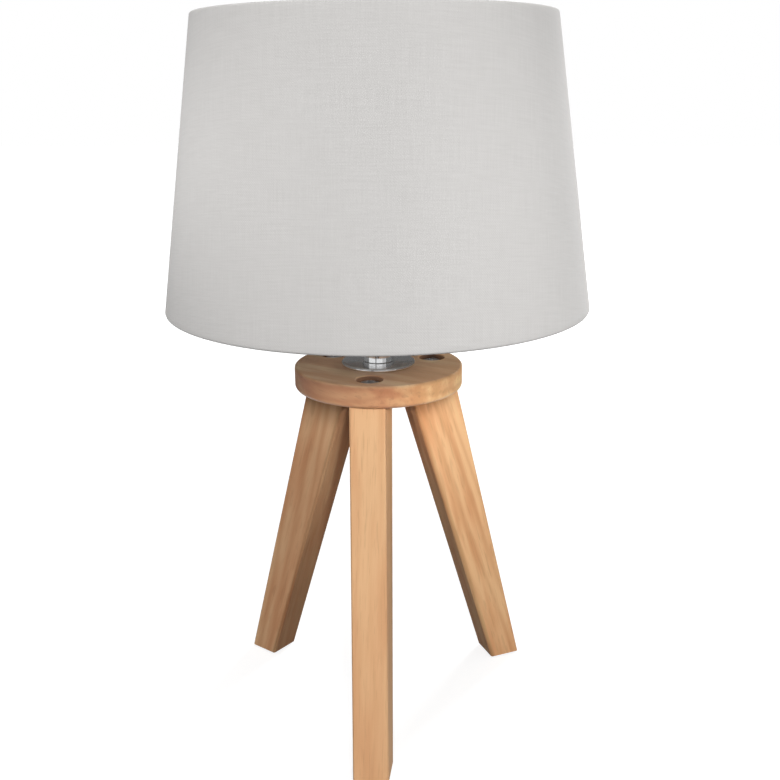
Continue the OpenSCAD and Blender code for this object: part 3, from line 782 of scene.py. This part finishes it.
def makeStem():
    low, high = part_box("stem_tube")
    radius = high.x
    bore = stemSettings["bore"]
    lip = stemSettings["lip"]
    flatEdge = stemSettings["flatEdge"]
    outline = [(bore, low.z), (radius - lip, low.z)]
    outline += arcPoints((radius - lip, low.z + lip), lip, -90, 0, 4)[1:]
    outline += [(radius, low.z + lip + flatEdge), (radius, high.z - lip - flatEdge)]
    outline += arcPoints((radius - lip, high.z - lip), lip, 0, 90, 4)
    outline += [(bore, high.z), (bore, low.z)]
    obj = spinShape("stem_sleeve", outline, 128, 28)
    finishPiece(obj, "chrome", "lamp_base", "chrome_plate", "stem_tube")


makeCoverPlate()
makeStem()
print("plate and stem made")


# leg screws

screwSettings = {
    "headRadius": 0.006,
    "headHeight": 0.0036,
    "shankRadius": 0.003,
    "slotWidth": 0.0013,
    "slotLength": 0.0064,
    "slotDepth": 0.0019,
    "side": 0.0019,
    "slotTurns": (45, 135),
    "slotTaper": (0.45, 0.6, 1),
    "crownRadius": 0.0096,
    "crownStart": 54,
    "tip": 0.0006,
    "edge": 0.0003,
    "ease": 0.0002,
    "bevel": 0.00012,
    "twists": (20, 71, 8),
}


def makeLegScrews():
    screw = screwSettings
    low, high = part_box("leg_screws")
    seat = high.z - screw["headHeight"]
    head = screw["headRadius"]
    shank = screw["shankRadius"]
    tip = screw["tip"]
    edge = screw["edge"]
    shoulder = seat + screw["side"]
    crownRadius = screw["crownRadius"]
    crown = arcPoints((0, high.z - crownRadius), crownRadius, screw["crownStart"], 90, 10)
    outline = [(0, low.z), (shank - tip, low.z), (shank, low.z + tip), (shank, seat)]
    outline += [(head - edge, seat), (head, seat + edge), (head, shoulder)]
    outline += [(head - screw["ease"], shoulder + edge), *crown[:-1], (0, high.z)]
    first = spinShape("leg_screw_front", outline, 64, 30)
    for turn in screw["slotTurns"]:
        clearSelection()
        bpy.ops.mesh.primitive_cube_add(size=1, location=(0, 0, 0))
        blade = startShape("slot_blade")
        bpy.ops.transform.resize(value=(screw["slotLength"], screw["slotWidth"], 2 * screw["slotDepth"]))
        pickFaces(blade, lambda face: face.normal.z < -0.9)  # the blade narrows downwards
        bpy.ops.transform.resize(value=screw["slotTaper"])
        closeShape(blade)
        placeShape(blade, (0, 0, high.z), math.radians(turn))
        cutShape(first, blade)
    applyModifier(first, "BEVEL", width=screw["bevel"], segments=2, limit_method="ANGLE",
                  angle_limit=math.radians(40))
    bpy.ops.object.shade_smooth_by_angle(angle=math.radians(30))
    screws = [first, copyShape(first, "leg_screw_right"), copyShape(first, "leg_screw_left")]
    for obj, azimuth, twist in zip(screws, legTurns.values(), screw["twists"]):
        placeShape(obj, (0, 0, 0), math.radians(twist))
        placeShape(obj, (screwCircle, 0, 0), math.radians(azimuth))
        finishPiece(obj, "zinc", "lamp_base", "zinc_steel", "leg_screws")


makeLegScrews()
print("leg screws made")


# threaded tube and nut under the disc

tubeSettings = {"crest": 0.005, "root": 0.0046, "bore": 0.0039, "pitch": 0.001, "flank": 0.00038,
                "land": 0.00012, "sink": 0.00005, "start": 0.0001, "spare": 0.001}
nutSettings = {"flats": 0.014, "faceRadius": 0.0068, "cornerRadius": 0.0084, "chamfer": 0.0009,
               "hole": 0.00505, "turn": 12}


def makeThreadedTube():
    tube = tubeSettings
    low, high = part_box("threaded_tube")
    bore = tube["bore"]
    root = tube["root"]
    core = spinShape("tube_with_thread",
                     [(bore, low.z), (root, low.z), (root, high.z), (bore, high.z), (bore, low.z)], 48, 30)
    foot = root - tube["sink"]
    flank = tube["flank"]
    land = tube["land"]
    tooth = [(foot, 0), (tube["crest"], flank), (tube["crest"], flank + land), (foot, 2 * flank + land)]
    turns = int((high.z - low.z - tube["spare"]) / tube["pitch"])
    ridge = ridgeShape("tube_ridge", tooth, tube["pitch"], turns, low.z + tube["start"], 40)
    joinShapes(core, [ridge])
    finishPiece(core, "zinc", "lamp_base", "zinc_steel", "threaded_tube")


def makeTubeNut():
    nut = nutSettings
    low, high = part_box("tube_nut")
    half = (high.z - low.z) / 2
    clearSelection()
    bpy.ops.mesh.primitive_cylinder_add(vertices=6, radius=nut["flats"] / 2 / math.cos(math.pi / 6),
                                        depth=2 * half, location=(0, 0, 0), rotation=(0, 0, math.pi / 6))
    bpy.ops.object.transform_apply(location=True, rotation=True, scale=True)
    obj = startShape("tube_hex_nut")
    closeShape(obj)
    face = nut["faceRadius"]
    corner = nut["cornerRadius"]
    flank = half - nut["chamfer"]
    cone = [(0, -half), (face, -half), (corner, -flank), (corner, flank), (face, half), (0, half)]
    limit = spinShape("nut_limit", cone, 48)  # takes the nut's corners off at both faces
    applyModifier(obj, "BOOLEAN", operation="INTERSECT", object=limit, solver="EXACT")
    bpy.data.objects.remove(limit, do_unlink=True)
    reach = 4 * half
    hole = [(0, -reach), (nut["hole"], -reach), (nut["hole"], reach), (0, reach)]
    cutShape(obj, spinShape("nut_hole", hole, 48))
    placeShape(obj, (0, 0, (low.z + high.z) / 2), math.radians(nut["turn"]))
    bpy.ops.object.shade_smooth_by_angle(angle=math.radians(30))
    finishPiece(obj, "zinc", "lamp_base", "zinc_steel", "tube_nut")


makeThreadedTube()
makeTubeNut()
print("tube and nut made")


# lampholder skirt with its thread

skirtSettings = {
    "root": 0.0188,
    "crest": 0.0195,
    "bore": 0.0165,
    "shoulder": 0.0235,
    "spigot": 0.01705,
    "spigotBore": 0.015,
    "lip": 0.0005,
    "runningGap": 0.0003,
    "pitch": 0.0028,
    "flank": 0.0008,
    "land": 0.0005,
    "sink": 0.0001,
    "start": 0.0006,
    "spare": 0.004,
}


def makeHolderSkirt():
    skirt = skirtSettings
    low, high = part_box("holder_skirt")
    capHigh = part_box("holder_cap")[1]
    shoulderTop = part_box("fitter_ring")[0].z - skirt["runningGap"]
    spigot = skirt["spigot"]
    spigotBore = skirt["spigotBore"]
    lip = skirt["lip"]
    outline = [(spigotBore, low.z), (spigot, low.z), (spigot, capHigh.z)]
    outline += arcPoints((skirt["shoulder"] - lip, capHigh.z + lip), lip, -90, 0, 4)
    outline += arcPoints((skirt["shoulder"] - lip, shoulderTop - lip), lip, 0, 90, 4)
    outline += [(skirt["root"], shoulderTop)]
    outline += arcPoints((skirt["root"] - lip, high.z - lip), lip, 0, 90, 4)
    outline += arcPoints((skirt["bore"] + lip, high.z - lip), lip, 90, 180, 4)
    outline += [(skirt["bore"], capHigh.z), (spigotBore, capHigh.z), (spigotBore, low.z)]
    obj = spinShape("holder_skirt_threaded", outline, 96, 30)
    foot = skirt["root"] - skirt["sink"]
    flank = skirt["flank"]
    land = skirt["land"]
    tooth = [(foot, 0), (skirt["crest"], flank), (skirt["crest"], flank + land), (foot, 2 * flank + land)]
    turns = int((high.z - shoulderTop - skirt["spare"]) / skirt["pitch"])
    ridge = ridgeShape("skirt_ridge", tooth, skirt["pitch"], turns, shoulderTop + skirt["start"], 64)
    joinShapes(obj, [ridge])
    finishPiece(obj, "holder", "lamp_base", "holder_plastic", "holder_skirt")


makeHolderSkirt()
print("lampholder skirt made")


# bulb screw cap

bulbCapSettings = {
    "foot": 0.009,
    "root": 0.01225,
    "crest": 0.013,
    "edge": 0.0002,
    "shoulder": 0.0035,
    "collar": 0.0028,
    "flare": 0.0014,
    "pitch": 0.0036,
    "sink": 0.0001,
    "spare": 0.005,
}


def makeBulbCap():
    bulbCap = bulbCapSettings
    low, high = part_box("bulb_screw_cap")
    pitch = bulbCap["pitch"]
    root = bulbCap["root"]
    crest = bulbCap["crest"]
    edge = bulbCap["edge"]
    collar = high.z - bulbCap["collar"]
    outline = [(0, low.z), (bulbCap["foot"], low.z), (root, low.z + bulbCap["shoulder"])]
    outline += [(root, collar - bulbCap["flare"]), (crest - edge, collar - 2 * edge), (crest, collar)]
    outline += [(crest, high.z), (0, high.z)]
    obj = spinShape("bulb_cap_threaded", outline, 64, 30)
    foot = root - bulbCap["sink"]
    rise = crest - foot
    tooth = [(foot + rise * math.sin(math.pi * i / 8), pitch * (0.1 + 0.8 * i / 8)) for i in range(9)]
    turns = int((high.z - low.z - bulbCap["shoulder"] - bulbCap["spare"]) / pitch)
    ridge = ridgeShape("bulb_ridge", tooth, pitch, turns, low.z + bulbCap["shoulder"], 64)
    joinShapes(obj, [ridge])
    finishPiece(obj, "bulbMetal", "bulb", "bulb_metal", "bulb_screw_cap")


makeBulbCap()
print("bulb cap made")


# foot pads

padSettings = {"radius": 0.006, "round": 0.0003, "circle": 0.089, "side": 0.0076}


def makeFootPads():
    pad = padSettings
    low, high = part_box("foot_pads")
    corner = pad["round"]
    radius = pad["radius"]
    outline = [(0, low.z), (radius - corner, low.z)]
    outline += arcPoints((radius - corner, low.z + corner), corner, -90, 0, 3)[1:]
    outline += arcPoints((radius - corner, high.z - corner), corner, 0, 90, 3)
    outline += [(0, high.z)]
    first = spinShape("foot_pad_front", outline, 48, 30)
    pads = [first, copyShape(first, "foot_pad_right"), copyShape(first, "foot_pad_left")]
    for obj, azimuth in zip(pads, legTurns.values()):
        placeShape(obj, (pad["circle"], pad["side"], 0), math.radians(azimuth))
        finishPiece(obj, "felt", "lamp_base", "foot_felt", "foot_pads")


makeFootPads()
print("foot pads made")


# stage, lights and camera

stageSettings = {
    "size": 12.0,
    "diffuse": 0.38,
    "glow": 0.76,
    "farGlow": 1.0,
    "near": 0.35,
    "far": 1.3,
    "bounce": 0.06,
    "ambient": 0.12,
}


def raySeesBackground(tree):
    # 1 where the camera, a mirror or clear glass looks at the surface
    path = tree.nodes.new("ShaderNodeLightPath")
    total = None
    for key in ("Is Camera Ray", "Is Glossy Ray", "Is Transmission Ray"):
        if total is None:
            total = path.outputs[key]
            continue
        adder = tree.nodes.new("ShaderNodeMath")
        adder.operation = "MAXIMUM"
        tree.links.new(total, adder.inputs[0])
        tree.links.new(path.outputs[key], adder.inputs[1])
        total = adder.outputs[0]
    return total


def makeFloor():
    stage = stageSettings
    clearSelection()
    bpy.ops.mesh.primitive_plane_add(size=stage["size"], location=(0, 0, 0))
    floor = bpy.context.object
    floor.name = "studio_floor"
    material = bpy.data.materials.new("studio_floor_white")
    material.use_nodes = True
    tree = material.node_tree
    tree.nodes.clear()
    output = tree.nodes.new("ShaderNodeOutputMaterial")
    plain = tree.nodes.new("ShaderNodeBsdfDiffuse")
    plain.inputs["Color"].default_value = gray(stage["bounce"])
    seen = tree.nodes.new("ShaderNodeBsdfDiffuse")
    seen.inputs["Color"].default_value = gray(stage["diffuse"])
    glow = tree.nodes.new("ShaderNodeEmission")
    place = tree.nodes.new("ShaderNodeTexCoord")
    away = tree.nodes.new("ShaderNodeVectorMath")
    away.operation = "LENGTH"
    fade = tree.nodes.new("ShaderNodeMapRange")
    fade.interpolation_type = "SMOOTHSTEP"
    ends = {"From Min": "near", "From Max": "far", "To Min": "glow", "To Max": "farGlow"}
    for key, setting in ends.items():
        fade.inputs[key].default_value = stage[setting]
    tree.links.new(place.outputs["Object"], away.inputs[0])
    tree.links.new(away.outputs["Value"], fade.inputs["Value"])
    tree.links.new(fade.outputs["Result"], glow.inputs["Strength"])
    both = tree.nodes.new("ShaderNodeAddShader")
    choice = tree.nodes.new("ShaderNodeMixShader")
    tree.links.new(seen.outputs[0], both.inputs[0])
    tree.links.new(glow.outputs[0], both.inputs[1])
    tree.links.new(raySeesBackground(tree), choice.inputs[0])
    tree.links.new(plain.outputs[0], choice.inputs[1])
    tree.links.new(both.outputs[0], choice.inputs[2])
    tree.links.new(choice.outputs[0], output.inputs["Surface"])
    floor.data.materials.append(material)


def makeWorld():
    world = bpy.data.worlds.new("studio_air")
    bpy.context.scene.world = world
    world.use_nodes = True
    tree = world.node_tree
    tree.nodes.clear()
    output = tree.nodes.new("ShaderNodeOutputWorld")
    air = tree.nodes.new("ShaderNodeBackground")
    air.inputs["Color"].default_value = gray(1.0)
    air.inputs["Strength"].default_value = stageSettings["ambient"]
    backdrop = tree.nodes.new("ShaderNodeBackground")
    backdrop.inputs["Color"].default_value = gray(1.0)
    backdrop.inputs["Strength"].default_value = 1.0
    choice = tree.nodes.new("ShaderNodeMixShader")
    tree.links.new(raySeesBackground(tree), choice.inputs[0])
    tree.links.new(air.outputs[0], choice.inputs[1])
    tree.links.new(backdrop.outputs[0], choice.inputs[2])
    tree.links.new(choice.outputs[0], output.inputs["Surface"])


lampSettings = [
    {"name": "key", "azimuth": 13, "height": 24, "distance": 1.9, "size": 0.5, "level": 0.80},
    {"name": "rim", "azimuth": 156, "height": 17, "distance": 2.2, "size": 0.6, "level": 0.9},
    {"name": "top", "azimuth": 10, "height": 84, "distance": 2.0, "size": 2.0, "level": 0.38},
]
lampTarget = Vector((0, 0, 0.2))
spotSettings = [
    {"name": "left", "azimuth": -78, "height": 10, "distance": 2.2, "aim": 0.32, "cone": 8.4,
     "squash": 0.74, "level": 0.62},
    {"name": "right", "azimuth": 84, "height": 10, "distance": 2.2, "aim": 0.275, "cone": 9.4,
     "squash": 0.9, "level": 0.38},
]
spotBlend = 0.5
spotRadius = 0.08


def placeLamp(light, lamp, target):
    turn = math.radians(lamp["azimuth"])
    lift = math.radians(lamp["height"])
    away = Vector((math.sin(turn) * math.cos(lift), -math.cos(turn) * math.cos(lift), math.sin(lift)))
    holder = bpy.data.objects.new(light.name, light)
    bpy.context.scene.collection.objects.link(holder)
    holder.location = target + away * lamp["distance"]
    holder.rotation_euler = (-away).to_track_quat("-Z", "Y").to_euler()
    holder.visible_glossy = False
    return holder


def makeLamps():
    # a level of 1 lights a surface that faces the lamp so that it shows its own colour
    for lamp in lampSettings:
        light = bpy.data.lights.new(lamp["name"] + "_softbox", "AREA")
        light.shape = "SQUARE"
        light.size = lamp["size"]
        light.energy = lamp["level"] * math.pi ** 2 * lamp["distance"] ** 2
        placeLamp(light, lamp, lampTarget)
    for lamp in spotSettings:
        light = bpy.data.lights.new(lamp["name"] + "_spot", "SPOT")
        light.spot_size = math.radians(lamp["cone"])
        light.spot_blend = spotBlend
        light.shadow_soft_size = spotRadius
        light.energy = lamp["level"] * 4 * math.pi ** 2 * lamp["distance"] ** 2
        holder = placeLamp(light, lamp, Vector((0, 0, lamp["aim"])))
        holder.scale = (1, lamp["squash"], 1)


cameraSettings = {
    "place": (0.0825, -0.5626, 0.3698),
    "yaw": -0.1339,
    "pitch": 0.2936,
    "roll": -0.0075,
    "focal": 1004.4,
    "imageWidth": 780,
    "sensorWidth": 36,
    "clipStart": 0.02,
    "clipEnd": 50,
}


def makeCamera():
    view = cameraSettings
    data = bpy.data.cameras.new("photo_camera")
    data.sensor_width = view["sensorWidth"]
    data.lens = view["focal"] / view["imageWidth"] * view["sensorWidth"]
    data.clip_start = view["clipStart"]
    data.clip_end = view["clipEnd"]
    camera = bpy.data.objects.new("photo_camera", data)
    bpy.context.scene.collection.objects.link(camera)
    camera.location = view["place"]
    level = math.cos(view["pitch"])
    side = math.sin(view["yaw"]) * level
    ahead = Vector((side, math.cos(view["yaw"]) * level, -math.sin(view["pitch"])))
    turn = ahead.to_track_quat("-Z", "Y") @ Quaternion((0, 0, 1), view["roll"])
    camera.rotation_euler = turn.to_euler()
    bpy.context.scene.camera = camera


cardSettings = [
    {"name": "card_back", "width": 1.2, "place": (0, 0.32), "turn": 0, "glow": 0.14},
    {"name": "card_right", "width": 0.62, "place": (0.6, 0.01), "turn": 90, "glow": 0.21},
    {"name": "card_left", "width": 0.62, "place": (-0.6, 0.01), "turn": 90, "glow": 0.23},
    {"name": "card_front_left", "width": 0.66, "place": (-0.46, -0.62), "turn": -34, "glow": 1.0},
    {"name": "card_front_dark", "width": 0.11, "place": (-0.13, -0.76), "turn": -10, "glow": 0.3},
    {"name": "card_front_right", "width": 0.3, "place": (0.56, -0.49), "turn": 49, "glow": 0.62},
]
cardHeight = 0.52


def makeCards():
    # glowing cards round the lamp that only mirroring surfaces see; they paint the dark and bright
    # reflections in the chrome and the wood's gloss
    for card in cardSettings:
        clearSelection()
        place = (*card["place"], cardHeight / 2)
        bpy.ops.mesh.primitive_plane_add(size=1, location=place,
                                         rotation=(math.pi / 2, 0, math.radians(card["turn"])))
        obj = bpy.context.object
        obj.name = card["name"]
        obj.scale = (card["width"], cardHeight, 1)
        material = bpy.data.materials.new(card["name"])
        material.use_nodes = True
        tree = material.node_tree
        tree.nodes.clear()
        glow = tree.nodes.new("ShaderNodeEmission")
        glow.inputs["Strength"].default_value = card["glow"]
        output = tree.nodes.new("ShaderNodeOutputMaterial")
        tree.links.new(glow.outputs[0], output.inputs["Surface"])
        obj.data.materials.append(material)
        obj.visible_camera = False
        obj.visible_diffuse = False
        obj.visible_shadow = False
        obj.visible_transmission = False


makeFloor()
makeCards()
makeWorld()
makeLamps()
makeCamera()
bpy.context.scene.view_settings.view_transform = "Standard"
print("stage, lamps and camera made")
